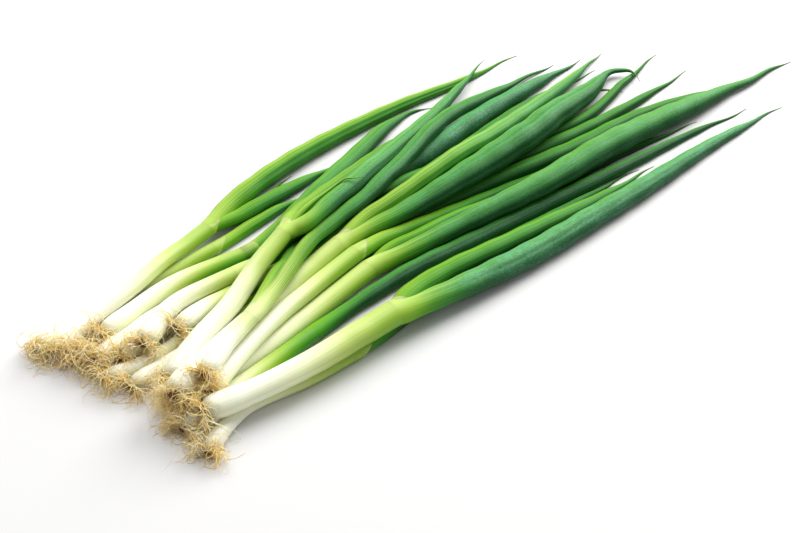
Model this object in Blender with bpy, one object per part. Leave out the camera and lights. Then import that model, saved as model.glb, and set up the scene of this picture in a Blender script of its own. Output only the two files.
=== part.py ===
"""A bunch of spring onions lying on a surface: white stalks, green leaves and tufts of roots.

Metres, +Z up, +X from the roots to the leaf tips, the origin on the surface under the bunch's middle.
"""

import bpy
import numpy as np

MM = 0.001

STEP = 5*MM            # between the points of a strand's centre line
CLEARANCE = 1.0*MM     # kept between the strands of two plants
SEAM = 0.35*MM         # gap between a stalk and the leaves or roots that grow out of it
SQUEEZE = 0.86         # the pile's height over its height with every strand still round
FLOOR_CUT = 0.4*MM     # how much a strand's underside flattens where it lies on the surface

STALK_SIDES = 8
LEAF_SIDES = 8
CHORD = 0.35*MM        # how far a tube's straight lengths may stray from its curve
SMOOTH_ANGLE = np.radians(50)

BULB_SWELL = 0.16      # how much wider a stalk is at its bulb
BULB_PLACE = 9*MM      # from the stalk's root end to its bulb's middle
LEAF_TIP = 0.7*MM      # radius that a leaf ends at
TURN_LENGTH = 15*MM    # over which a leaf turns from its stalk's direction to its own

PLATE_LENGTH = 3*MM
PLATE_PROFILE = [(0, 0.75), (0.45, 0.8), (1, 0.45)]    # place along the plate, width over the stalk's
ROOTS = 13             # at most, to a plant
ROOT_TRIES = 400
ROOT_SIDES = 3
ROOT_POINTS = 5
ROOT_RADIUS = 0.5*MM
ROOT_LENGTH = (10*MM, 21*MM)
ROOT_SPREAD = (5, 78)  # degrees from the stalk's own line
ROOT_WAVE = (0.08, 0.2)    # how far a root curls to the side, over its length
ROOT_DROOP = 0.35      # fall over length
SEED = 5

SETTLE_ROUNDS = 120
WEIGHT = 0.15*MM       # how far the strands sink in a round
HOLD = 0.02            # how much of the way back to its route a strand goes in a round
STIFFNESS = 0.5        # how much of a strand's unevenness a round takes out
STIFF_LENGTH = 22*MM   # over which it is evened out
NEAR = 4*MM            # strands this close are watched for meeting
FUSED_LENGTH = 25*MM   # from the neck, where a plant's leaves may still be one
PART_LENGTH = 35*MM    # over which they then come clear of each other


# Each stalk: its width at the root and at the neck, and its route from root to neck.
# Each leaf: its width, how far along it is widest, and its route on from the neck to the tip.
# Widths are in mm. A route's points are (x, y, height), in mm, for the line down the strand's middle.
PLANTS = {
    "A": {
        "stalk": (6.4, 8.1, [(-217, 20, 8), (-189, 25, 9), (-166, 30, 9), (-137, 38, 8),
                             (-118, 43, 8)]),
        "leaves": [
            (10.2, 0.12, [(-97, 52, 8), (-53, 63, 7), (19, 67, 4), (70, 64, 2), (106, 65, 1)]),
            (2.2, 0.1, [(-90, 47, 5), (-56, 60, 1)]),
            (7.6, 0.4, [(-96, 43, 6), (-81, 45, 5), (-25, 51, 1)]),
        ],
    },
    "B": {
        "stalk": (5.5, 6.4, [(-222, 23, 3), (-197, 27, 3), (-151, 32, 3), (-120, 33, 3)]),
        "leaves": [
            (6.0, 0.3, [(-77, 38, 3), (-47, 37, 1)]),
        ],
    },
    "C": {
        "stalk": (8.5, 9.3, [(-196, 18, 5), (-153, 25, 5), (-114, 20, 5)]),
        "leaves": [
            (9.8, 0.5, [(-57, 34, 8), (-24, 46, 5), (9, 58, 3), (24, 60, 2), (38, 57, 1)]),
            (6.8, 0.3, [(-99, 21, 4), (-54, 26, 2)]),
        ],
    },
    "D": {
        "stalk": (11.0, 8.5, [(-187, -29, 10), (-170, -20, 13), (-142, -11, 17), (-116, 0, 22),
                              (-98, 6, 24)]),
        "leaves": [
            (6.8, 0.3, [(-84, 16, 22), (-68, 22, 19), (-40, 31, 14), (-16, 40, 8), (29, 52, 1)]),
            (9.5, 0.3, [(-84, 3, 27), (-64, 8, 27), (-37, 16, 24), (-5, 30, 17), (30, 44, 11),
                        (61, 59, 6), (86, 71, 2)]),
            (2.2, 0.1, [(-84, 10, 27), (-68, 14, 27), (-57, 15, 28), (-46, 8, 30)]),
        ],
    },
    "E": {
        "stalk": (7.6, 7.6, [(-182, -44, 25), (-169, -38, 25), (-146, -30, 25)]),
        "leaves": [
            (8.1, 0.6, [(-126, -21, 24), (-89, -1, 21), (-43, 10, 17), (3, 26, 12), (33, 37, 9),
                        (64, 41, 6), (116, 46, 1)]),
            (6.8, 0.3, [(-130, -21, 20), (-107, -8, 14), (-79, 7, 9), (-49, 15, 9), (10, 33, 1)]),
        ],
    },
    "G": {
        "stalk": (10.2, 9.3, [(-196, -47, 17), (-183, -40, 16), (-159, -31, 15), (-126, -20, 13),
                              (-77, -8, 14)]),
        "leaves": [
            (15.3, 0.52, [(-35, -10, 15), (55, -4, 16), (70, 0, 15), (109, 10, 9), (134, 17, 8),
                          (140, 11, 9), (139, 2, 8)]),
            (8.5, 0.55, [(-61, -3, 16), (-35, -1, 18), (10, 4, 19), (35, 8, 15), (65, 14, 11),
                         (110, 25, 6), (144, 37, 1)]),
        ],
    },
    "H": {
        "stalk": (7.6, 8.5, [(-181, -51, 13), (-163, -44, 14), (-126, -30, 13), (-93, -22, 12),
                             (-74, -18, 12)]),
        "leaves": [
            (7.2, 0.3, [(-36, -16, 7), (-6, -19, 5), (83, -27, 1)]),
        ],
    },
    "I": {
        "stalk": (8.1, 10.2, [(-195, -43, 5), (-151, -39, 4), (-73, -27, 6)]),
        "leaves": [
            (5.5, 0.3, [(-58, -24, 9), (-43, -26, 11), (-22, -26, 10), (55, -27, 1)]),
            (13.6, 0.5, [(-50, -31, 9), (-11, -35, 12), (29, -38, 14), (83, -35, 12),
                         (150, -34, 7), (190, -35, 4), (221, -35, 1)]),
        ],
    },
    "J": {
        "stalk": (7.6, 8.1, [(-199, -57, 4), (-179, -52, 4), (-154, -49, 4), (-119, -44, 4)]),
        "leaves": [
            (8.9, 0.3, [(-59, -39, 4), (-24, -41, 4), (70, -46, 3), (135, -48, 2), (169, -51, 1)]),
        ],
    },
    "K": {
        "stalk": (10.2, 12.8, [(-190, -60, 14), (-175, -63, 14), (-134, -66, 14), (-87, -64, 14)]),
        "leaves": [
            (9.3, 0.3, [(-74, -60, 16), (-53, -57, 15), (-4, -58, 12), (23, -58, 10), (52, -57, 7),
                        (95, -54, 4)]),
            (12.8, 0.25, [(-74, -65, 13), (-53, -66, 11), (-20, -66, 8), (26, -65, 6), (74, -64, 5),
                          (130, -61, 3), (185, -61, 1)]),
        ],
    },
    "L": {
        "stalk": (6.8, 7.2, [(-198, -74, 4), (-185, -67, 4), (-171, -63, 4), (-136, -66, 4),
                             (-110, -66, 4)]),
        "leaves": [
            (6.4, 0.3, [(-92, -64, 4), (-62, -58, 3), (-35, -54, 2)]),
            (6.8, 0.3, [(-92, -62, 4), (-56, -53, 4), (12, -51, 3), (87, -50, 1)]),
        ],
    },
    "M": {
        "stalk": (7.6, 6.8, [(-206, 5, 4), (-192, 9, 4), (-167, 13, 4), (-123, 10, 3)]),
        "leaves": [
            (11.0, 0.6, [(-61, 18, 4), (-31, 20, 5), (55, 32, 5), (131, 39, 1)]),
            (6.8, 0.5, [(-76, 10, 3), (-35, 11, 3), (15, 16, 3), (80, 26, 2), (131, 26, 1)]),
        ],
    },
    "N": {
        "stalk": (9.3, 7.6, [(-187, -6, 12), (-164, 5, 13), (-129, 3, 15)]),
        "leaves": [
            (6.8, 0.6, [(-111, 3, 14), (-86, 7, 16), (-56, 10, 14), (-10, 7, 10), (52, 0, 6),
                        (94, -3, 5), (134, 7, 5), (167, 16, 2)]),
        ],
    },
    "O": {
        "stalk": (7.6, 7.2, [(-170, -7, 12), (-151, -3, 11), (-132, -3, 10)]),
        "leaves": [
            (6.8, 0.6, [(-89, -3, 7), (-54, 3, 9), (-18, 5, 6), (38, 8, 3), (93, 9, 2), (113, 10, 1),
                        (123, 9, 1), (131, 2, 1)]),
        ],
    },
    "P": {
        "stalk": (6.4, 6.8, [(-198, -1, 4), (-163, 4, 3), (-138, 2, 3), (-118, 2, 3)]),
        "leaves": [
            (7.6, 0.6, [(-72, 3, 3), (-37, -1, 3), (23, -4, 4), (83, -11, 4), (119, -10, 3),
                        (169, -6, 1)]),
        ],
    },
    "Q": {
        "stalk": (6.4, 6.0, [(-208, -6, 4), (-184, -10, 3), (-164, -8, 3), (-135, -5, 3)]),
        "leaves": [
            (8.5, 0.6, [(-89, -7, 3), (20, -13, 4), (65, -19, 4), (120, -22, 3), (164, -31, 1),
                        (177, -36, 1)]),
        ],
    },
    "R": {
        "stalk": (6.8, 6.8, [(-202, -18, 4), (-172, -16, 4), (-127, -12, 3)]),
        "leaves": [
            (6.8, 0.5, [(-103, -15, 3), (-64, -19, 3), (-5, -31, 3), (95, -37, 2), (140, -42, 1)]),
        ],
    },
}


def arc_length(line):
    steps = np.linalg.norm(np.diff(line, axis=0), axis=1)
    return np.concatenate([[0], np.cumsum(steps)])


def smooth_line(points, step):
    """A smooth curve through the points, as points an even step apart."""
    p = np.asarray(points, float)
    t = np.concatenate([[0], np.cumsum(np.linalg.norm(np.diff(p, axis=0), axis=1)**0.75)])
    slope = np.gradient(p, t, axis=0)
    u = np.linspace(0, 1, 24, endpoint=False)[:, None]
    runs = []
    for i, h in enumerate(np.diff(t)):
        start = (2*u**3 - 3*u**2 + 1)*p[i] + (u**3 - 2*u**2 + u)*h*slope[i]
        end = (3*u**2 - 2*u**3)*p[i + 1] + (u**3 - u**2)*h*slope[i + 1]
        runs.append(start + end)
    line = np.concatenate(runs + [p[-1:]])
    s = arc_length(line)
    even = np.linspace(0, s[-1], max(4, round(s[-1]/step) + 1))
    return np.column_stack([np.interp(even, s, column) for column in line.T])


def ease(u):
    """0 to 1 with a soft start and end."""
    u = np.clip(u, 0, 1)
    return u*u*(3 - 2*u)


def stalk_radius(s, root_width, neck_width):
    """A stalk tapers evenly between its ends, and swells a little just above the roots."""
    taper = np.interp(s/s[-1], [0, 1], [root_width, neck_width])/2*MM
    return taper*(1 + BULB_SWELL*np.exp(-((s - BULB_PLACE)/BULB_PLACE)**2))


def leaf_radius(s, width, widest, base):
    """A leaf widens from its base, is widest at that share of its length, and ends in a point."""
    u = s/s[-1]
    grown = base + (width/2*MM - base)*ease(u/widest)
    fall = np.clip((u - widest)/(1 - widest), 0, 1)
    return np.maximum(grown*(1 - fall**1.9)**0.9, LEAF_TIP)


def strands_of(plants):
    """Every stalk and leaf as a dict of its plant, kind, centre line, distances along it and radii."""
    strands = []
    for plant, parts in plants.items():
        root_width, neck_width, route = parts["stalk"]
        route = np.array(route)*MM
        line = smooth_line(route, STEP)
        s = arc_length(line)
        radius = stalk_radius(s, root_width, neck_width)
        strands.append(dict(plant=plant, kind="stalk", line=line, s=s, radius=radius))
        for width, widest, points in parts["leaves"]:
            leaf_route = np.concatenate([route[-2:], np.array(points)*MM])
            curve = smooth_line(leaf_route, STEP)
            neck = np.argmin(np.linalg.norm(curve - route[-1], axis=1))
            leaf = np.concatenate([line[-1:], curve[neck + 1:]])
            s = arc_length(leaf)
            base = min(0.8*radius[-1], 0.55*width*MM)
            strands.append(dict(plant=plant, kind="leaf", line=leaf, s=s,
                                radius=leaf_radius(s, width, widest, base)))
    return strands


def close_pairs(p, r, first, strand, plant, along):
    """Points and segments near enough to meet: (point, segment's first point, share of the clearance)."""
    middle = (p[first] + p[first + 1])/2
    reach = np.maximum(r[first], r[first + 1]) + np.linalg.norm(p[first + 1] - p[first], axis=1)/2
    order = np.argsort(middle[:, 0])
    x = middle[order, 0]
    span = r.max() + reach.max() + NEAR
    points, segments = [], []
    for start in range(0, len(p), 256):
        block = np.arange(start, min(start + 256, len(p)))
        low = np.searchsorted(x, p[block, 0].min() - span)
        high = np.searchsorted(x, p[block, 0].max() + span)
        near = order[low:high]
        away = np.linalg.norm(p[block, None] - middle[near], axis=2)
        hit = away < r[block, None] + reach[near] + NEAR
        hit &= strand[block, None] != strand[first[near]]
        i, j = np.nonzero(hit)
        points.append(block[i])
        segments.append(first[near[j]])
    i, j = np.concatenate(points), np.concatenate(segments)
    apart = ease((np.minimum(along[i], along[j]) - FUSED_LENGTH)/PART_LENGTH)
    share = np.where(plant[i] == plant[j], apart, 1)
    return i[share > 0], j[share > 0], share[share > 0]


def stiffness(strands, first, count, stalks):
    """Weights that even out a shift along each plant's stalk and leaves, as stiff rods would."""
    weights = np.zeros((count.sum(), count.sum()))
    for k, strand in enumerate(strands):
        if strand["kind"] == "leaf":
            stalk = stalks[strand["plant"]]
            rod = np.concatenate([first[stalk] + np.arange(count[stalk]),
                                  first[k] + np.arange(1, count[k])])
            s = arc_length(np.concatenate([strands[stalk]["line"], strand["line"][1:]]))
            ahead = s - s[:, None]
            near = np.exp(-(ahead/STIFF_LENGTH)**2/2)
            mean = (near*ahead).sum(1)[:, None]
            square = (near*ahead**2).sum(1)[:, None]
            weights[np.ix_(rod, rod)] += near*(square - mean*ahead)
    return weights


def press_apart(strands, rounds):
    """Moves the strands, as springy rods, until they lie clear of each other and on the surface."""
    count = np.array([len(strand["line"]) for strand in strands])
    start = np.cumsum(count) - count
    strand = np.repeat(np.arange(len(strands)), count)
    plan = np.concatenate([s["line"] for s in strands])
    r = np.concatenate([s["radius"] for s in strands])
    along = np.concatenate([s["s"]*(s["kind"] == "leaf") for s in strands])
    plant = np.concatenate([[ord(s["plant"])]*len(s["line"]) for s in strands])
    first = np.setdiff1d(np.arange(len(r)), start + count - 1)
    stalks = {s["plant"]: k for k, s in enumerate(strands) if s["kind"] == "stalk"}
    leaves = [k for k, s in enumerate(strands) if s["kind"] == "leaf"]
    own_stalks = [stalks[strands[k]["plant"]] for k in leaves]
    base = start[leaves]
    neck = start[own_stalks] + count[own_stalks] - 1
    even = stiffness(strands, start, count, stalks)
    even[base] = even[neck]
    even /= even.sum(1)[:, None]
    p = plan.copy()
    p[:, 2] = np.maximum(p[:, 2], r)
    for turn in range(rounds):
        if turn % 6 == 0:
            i, j, share = close_pairs(p, r, first, strand, plant, along)
        loose = min(1, 3*(1 - turn/rounds))
        p[:, 2] -= WEIGHT*loose
        p[:, :2] += HOLD*loose*(plan - p)[:, :2]
        shift = p - plan
        p = plan + (1 - STIFFNESS)*shift + STIFFNESS*(even @ shift)
        for _ in range(3):
            a, b = p[j], p[j + 1]
            t = np.clip(((p[i] - a)*(b - a)).sum(1)/((b - a)**2).sum(1), 0, 1)
            away = p[i] - a - t[:, None]*(b - a)
            distance = np.linalg.norm(away, axis=1)
            deep = (r[i] + r[j]*(1 - t) + r[j + 1]*t + CLEARANCE)*share - distance
            hit = deep > 0
            push = away[hit]/np.maximum(distance[hit], 1e-9)[:, None]*(deep[hit]/2)[:, None]
            move, weight = np.zeros_like(p), np.zeros(len(p))
            for k, part, sign in ((i, 1 + 0*t, 1), (j, 1 - t, -1), (j + 1, t, -1)):
                np.add.at(move, k[hit], sign*push*part[hit, None])
                np.add.at(weight, k[hit], part[hit])
            p += 1.5*move/np.maximum(weight, 1)[:, None]
            p[:, 2] = np.maximum(p[:, 2], r)
            p[base] = p[neck]
    for strand, lines in zip(strands, np.split(p, start[1:])):
        strand["line"] = lines
        strand["s"] = arc_length(lines)


def ring_places(line, radius):
    """The points that a tube needs for its straight lengths to stay within CHORD of its curve."""
    shape = np.column_stack([line, radius])
    index = np.arange(len(line))
    keep = [0, len(line) - 1]
    while True:
        straight = np.column_stack([np.interp(index, keep, column[keep]) for column in shape.T])
        stray = np.linalg.norm(shape - straight, axis=1)
        worst = int(stray.argmax())
        if stray[worst] < CHORD:
            return keep
        keep = sorted(keep + [worst])


def unit(v):
    return v/np.linalg.norm(v)


def ring(centre, along, radius, sides):
    """Corners of a ring square to a direction, with one side facing straight down."""
    side = unit(np.cross((0, 0, 1), along))
    up = np.cross(along, side)
    angle = 2*np.pi*(np.arange(sides) + 0.5)/sides
    return centre + radius*(np.sin(angle)[:, None]*side - np.cos(angle)[:, None]*up)


def tube(rings):
    """Points and faces of a closed tube through rings of equal counts."""
    sides = len(rings[0])
    faces = [list(range(sides))[::-1]]
    for k in range(len(rings) - 1):
        low, high = k*sides, (k + 1)*sides
        for i in range(sides):
            j = (i + 1) % sides
            faces.append([low + i, low + j, high + j, high + i])
    faces.append(list(range((len(rings) - 1)*sides, len(rings)*sides)))
    return np.concatenate(rings), faces


def strand_tube(line, radius, sides, seat=None):
    """A tube along a strand. seat is the plane, as a point and a direction, that its first ring lies in."""
    heading = np.gradient(line, axis=0)
    heading /= np.linalg.norm(heading, axis=1)[:, None]
    if seat is not None:
        turned = ease(arc_length(line)/TURN_LENGTH)[:, None]
        heading = turned*heading + (1 - turned)*seat[1]
        line = np.concatenate([[seat[0]], line[1:]])
    rings = [ring(line[k], unit(heading[k]), radius[k], sides) for k in ring_places(line, radius)]
    return tube(rings)


def laid_down(points):
    """The pile squeezed by its own weight, its lowest sides flat on the surface."""
    points = points*(1, 1, SQUEEZE)
    points[:, 2] = np.maximum(points[:, 2], FLOOR_CUT) - FLOOR_CUT
    return points


def material(name, colour, roughness):
    """A plain finish."""
    finish = bpy.data.materials.new(name)
    finish.use_nodes = True
    shader = finish.node_tree.nodes["Principled BSDF"]
    shader.inputs["Base Color"].default_value = (*colour, 1)
    shader.inputs["Roughness"].default_value = roughness
    shader.inputs["Metallic"].default_value = 0
    return finish


def solid(name, points, faces, finish, parent, origin=None):
    """One mesh object with its origin where the piece grows from."""
    points = laid_down(points)
    place = points.mean(0) if origin is None else laid_down(origin[None])[0]
    mesh = bpy.data.meshes.new(name)
    mesh.from_pydata((points - place).tolist(), [], faces)
    mesh.materials.append(finish)
    obj = bpy.data.objects.new(name, mesh)
    obj.location = place
    obj.parent = parent
    bpy.context.scene.collection.objects.link(obj)
    return obj


def fused(first, others):
    """Joins the other objects to the first by one union, and removes them."""
    if others:
        group = bpy.data.collections.new(first.name + "_repeats")
        bpy.context.scene.collection.children.link(group)
        for other in others:
            bpy.context.scene.collection.objects.unlink(other)
            group.objects.link(other)
        union = first.modifiers.new("union", "BOOLEAN")
        union.operation = "UNION"
        union.operand_type = "COLLECTION"
        union.collection = group
        union.solver = "MANIFOLD"
        bpy.context.view_layer.update()
        graph = bpy.context.evaluated_depsgraph_get()
        joined = bpy.data.meshes.new_from_object(first.evaluated_get(graph))
        first.modifiers.remove(union)
        first.data = joined
        for other in others:
            bpy.data.objects.remove(other)
        bpy.data.collections.remove(group)
    first.data.shade_smooth()
    first.data.set_sharp_from_angle(angle=SMOOTH_ANGLE)
    return first


def strand_segments(strands, plant):
    """Starts, ends and radii of the strands' lengths but for one plant's, with a root plate on each."""
    starts, ends, radii = [], [], []
    for strand in strands:
        if strand["plant"] == plant:
            continue
        line, radius = strand["line"], strand["radius"]
        if strand["kind"] == "stalk":
            plate = line[0] + PLATE_LENGTH*unit(line[0] - line[1])
            line = np.concatenate([[plate], line])
            radius = np.concatenate([radius[:1], radius])
        starts.append(line[:-1])
        ends.append(line[1:])
        radii.append(np.maximum(radius[:-1], radius[1:]))
    return np.concatenate(starts), np.concatenate(ends), np.concatenate(radii)


def distance_to_segments(p, a, b):
    t = np.clip(((p[:, None] - a)*(b - a)).sum(2)/((b - a)**2).sum(1), 0, 1)
    return np.linalg.norm(p[:, None] - a - t[..., None]*(b - a), axis=2)


def root_route(end, outward, width, rng):
    """A wavy root from inside the plate: it fans out, then droops to the surface."""
    side = unit(np.cross((0, 0, 1), outward))
    up = np.cross(outward, side)
    turn = rng.uniform(0, 2*np.pi)
    radial = np.cos(turn)*side + np.sin(turn)*up
    spread = np.radians(rng.uniform(*ROOT_SPREAD))
    heading = np.cos(spread)*outward + np.sin(spread)*radial
    length = rng.uniform(*ROOT_LENGTH)
    wave = unit(np.cross(heading, rng.normal(size=3)))*rng.uniform(*ROOT_WAVE)*length
    cycles = rng.uniform(0.5, 1.1)
    t = np.linspace(0, 1, ROOT_POINTS)[:, None]
    start = end + outward*PLATE_LENGTH*0.5 + radial*0.3*width
    route = start + heading*length*t + wave*np.sin(2*np.pi*cycles*t)*t
    route[:, 2] -= ROOT_DROOP*length*t[:, 0]**2
    route[:, 2] = np.maximum(route[:, 2], FLOOR_CUT/SQUEEZE + ROOT_RADIUS)
    return route


def root_tubes(strands, stalk, taken, rng):
    """Points and faces of a plant's roots: those of many tries that stay clear of every other piece."""
    line = stalk["line"]
    outward = unit(line[0] - line[1])
    end = line[0] + SEAM*outward
    starts, ends, radii = strand_segments(strands, stalk["plant"])
    top = max((strand["line"][:, 2] + strand["radius"]).max() for strand in strands)
    near = np.linalg.norm((starts + ends)/2 - end, axis=1) < 2*ROOT_LENGTH[1]
    starts, ends, radii = starts[near], ends[near], radii[near]
    tubes, mine = [], []
    for _ in range(ROOT_TRIES):
        if len(tubes) == ROOTS:
            break
        route = root_route(end, outward, stalk["radius"][0], rng)
        fine = smooth_line(route, ROOT_RADIUS*2)
        gap = (distance_to_segments(fine, starts, ends) - radii).min()
        clear = gap > ROOT_RADIUS + SEAM
        clear &= ((fine - end) @ outward).min() > ROOT_RADIUS*1.2
        clear &= fine[:, 2].max() < top - ROOT_RADIUS
        if taken:
            apart = np.linalg.norm(fine[:, None] - np.concatenate(taken), axis=2).min()
            clear &= apart > 2*ROOT_RADIUS + 2*SEAM
        if mine:
            loose = fine[len(fine)//4:]
            apart = np.linalg.norm(loose[:, None] - np.concatenate(mine), axis=2).min()
            clear &= apart > 2*ROOT_RADIUS + SEAM
        if not clear:
            continue
        heading = np.gradient(route, axis=0)
        rings = [ring(p, unit(h), ROOT_RADIUS, ROOT_SIDES) for p, h in zip(route, heading)]
        tubes.append(tube(rings))
        mine.append(fine)
    taken.extend(mine)
    return tubes


def root_plate(stalk):
    """The short hard disc under a stalk that its roots grow from."""
    line, width = stalk["line"], stalk["radius"][0]
    outward = unit(line[0] - line[1])
    rings = []
    for place, share in PLATE_PROFILE:
        centre = line[0] + (SEAM + place*PLATE_LENGTH)*outward
        rings.append(ring(centre, outward, share*width, STALK_SIDES))
    return tube(rings)


def build_plant(strands, plant, taken, finishes, parent, rng):
    """A plant's three pieces: its stalk, its leaves and its roots."""
    stalk = next(s for s in strands if s["plant"] == plant and s["kind"] == "stalk")
    leaves = [s for s in strands if s["plant"] == plant and s["kind"] == "leaf"]
    line = stalk["line"]
    points, faces = strand_tube(line, stalk["radius"], STALK_SIDES)
    fused(solid("stalk_" + plant, points, faces, finishes["stalk"], parent, line[0]), [])

    forward = unit(line[-1] - line[-2])
    neck = line[-1] + SEAM*forward
    blades = []
    for number, leaf in enumerate(leaves):
        points, faces = strand_tube(leaf["line"], leaf["radius"], LEAF_SIDES, (neck, forward))
        name = "leaves_" + plant if number == 0 else f"blade_{plant}_{number}"
        blades.append(solid(name, points, faces, finishes["leaf"], parent, neck))
    fused(blades[0], blades[1:])

    plate = solid("roots_" + plant, *root_plate(stalk), finishes["root"], parent, line[0])
    hairs = []
    for number, (points, faces) in enumerate(root_tubes(strands, stalk, taken, rng)):
        hairs.append(solid(f"root_{plant}_{number}", points, faces, finishes["root"], parent))
    fused(plate, hairs)


def centre_bunch(parent):
    """Moves the bunch so that its middle is over the origin."""
    bpy.context.view_layer.update()
    corners = []
    for obj in parent.children:
        for vertex in obj.data.vertices:
            corners.append(obj.matrix_world @ vertex.co)
    corners = np.array(corners)
    middle = (corners.min(0) + corners.max(0))/2
    parent.location = (-middle[0], -middle[1], 0)


def main():
    for obj in list(bpy.data.objects):
        bpy.data.objects.remove(obj)
    bunch = bpy.data.objects.new("bunch", None)
    bpy.context.scene.collection.objects.link(bunch)
    finishes = {
        "stalk": material("white_stalk", (0.80, 0.83, 0.58), 0.35),
        "leaf": material("green_leaf", (0.07, 0.22, 0.09), 0.45),
        "root": material("tan_root", (0.56, 0.41, 0.22), 0.8),
    }
    strands = strands_of(PLANTS)
    press_apart(strands, SETTLE_ROUNDS)
    rng = np.random.default_rng(SEED)
    taken = []
    for plant in PLANTS:
        build_plant(strands, plant, taken, finishes, bunch, rng)
    centre_bunch(bunch)


main()
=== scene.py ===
"""The looks of a bunch of spring onions lying on a pale surface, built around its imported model.

Every stalk and leaf follows the line that its solid follows, worked out here again from the same
routes: strands_of lays them out and press_apart settles them. Metres, +Z up, +X to the leaf tips.
"""

import bpy
import numpy as np
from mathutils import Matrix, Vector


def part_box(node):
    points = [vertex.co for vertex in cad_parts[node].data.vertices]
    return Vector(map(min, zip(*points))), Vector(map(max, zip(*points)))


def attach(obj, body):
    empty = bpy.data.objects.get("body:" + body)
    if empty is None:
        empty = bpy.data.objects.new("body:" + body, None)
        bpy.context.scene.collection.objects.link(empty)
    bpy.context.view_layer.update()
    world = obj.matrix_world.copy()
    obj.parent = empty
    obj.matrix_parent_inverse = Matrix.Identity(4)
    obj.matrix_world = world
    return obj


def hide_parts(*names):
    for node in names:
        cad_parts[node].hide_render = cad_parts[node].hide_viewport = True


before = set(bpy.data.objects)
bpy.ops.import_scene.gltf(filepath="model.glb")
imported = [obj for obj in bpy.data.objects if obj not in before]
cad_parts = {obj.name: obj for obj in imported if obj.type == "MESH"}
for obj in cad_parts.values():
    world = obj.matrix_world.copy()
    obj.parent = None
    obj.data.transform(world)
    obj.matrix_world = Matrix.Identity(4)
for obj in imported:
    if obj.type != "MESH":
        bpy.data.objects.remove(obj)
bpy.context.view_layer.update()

MM = 0.001

STEP = 5*MM            # between the points of a strand's settled line
CLEARANCE = 1.0*MM     # kept between the strands of two plants
SQUEEZE = 0.86         # the pile's height over its height with every strand still round
FLOOR_CUT = 0.4*MM     # how much a strand's underside flattens where it lies on the surface
BULB_SWELL = 0.16      # how much wider a stalk is at its bulb
BULB_PLACE = 9*MM      # from the stalk's root end to its bulb's middle
LEAF_TIP = 0.7*MM      # radius that a settled leaf ends at
TURN_LENGTH = 15*MM    # over which a leaf turns from its stalk's direction to its own
PLATE_LENGTH = 3*MM    # of the hard disc that the roots grow from
SPAN_POINTS = 24       # on a smooth curve, from one given point to the next
SPAN_POWER = 0.75      # of the distance between those two, as the curve's pace
LEAF_FALL = (1.9, 0.9)     # powers that shape how a leaf's width falls to its tip
LEAF_BASE = (0.8, 0.55)    # the most its base radius is, over its stalk's and over its own width
SOLID_SIDES = 8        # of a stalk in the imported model

SETTLE_ROUNDS = 120
WEIGHT = 0.15*MM       # how far the strands sink in a round
HOLD = 0.02            # how much of the way back to its route a strand goes in a round
STIFFNESS = 0.5        # how much of a strand's unevenness a round takes out
STIFF_LENGTH = 22*MM   # over which it is evened out
LOOSE_RATE = 3         # sinking and hold fade out over the last third of the rounds
WATCH_ROUNDS = 6       # from one look for strands that are near each other to the next
NEAR = 4*MM            # strands this close are watched for meeting
BLOCK = 256            # points that are looked at together for that
PUSHES = 3             # in a round, between strands that are too close
PUSH = 1.5             # of what would take two strands apart
FUSED_LENGTH = 25*MM   # from the neck, where a plant's leaves may still be one
PART_LENGTH = 35*MM    # over which they then come clear of each other


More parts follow.
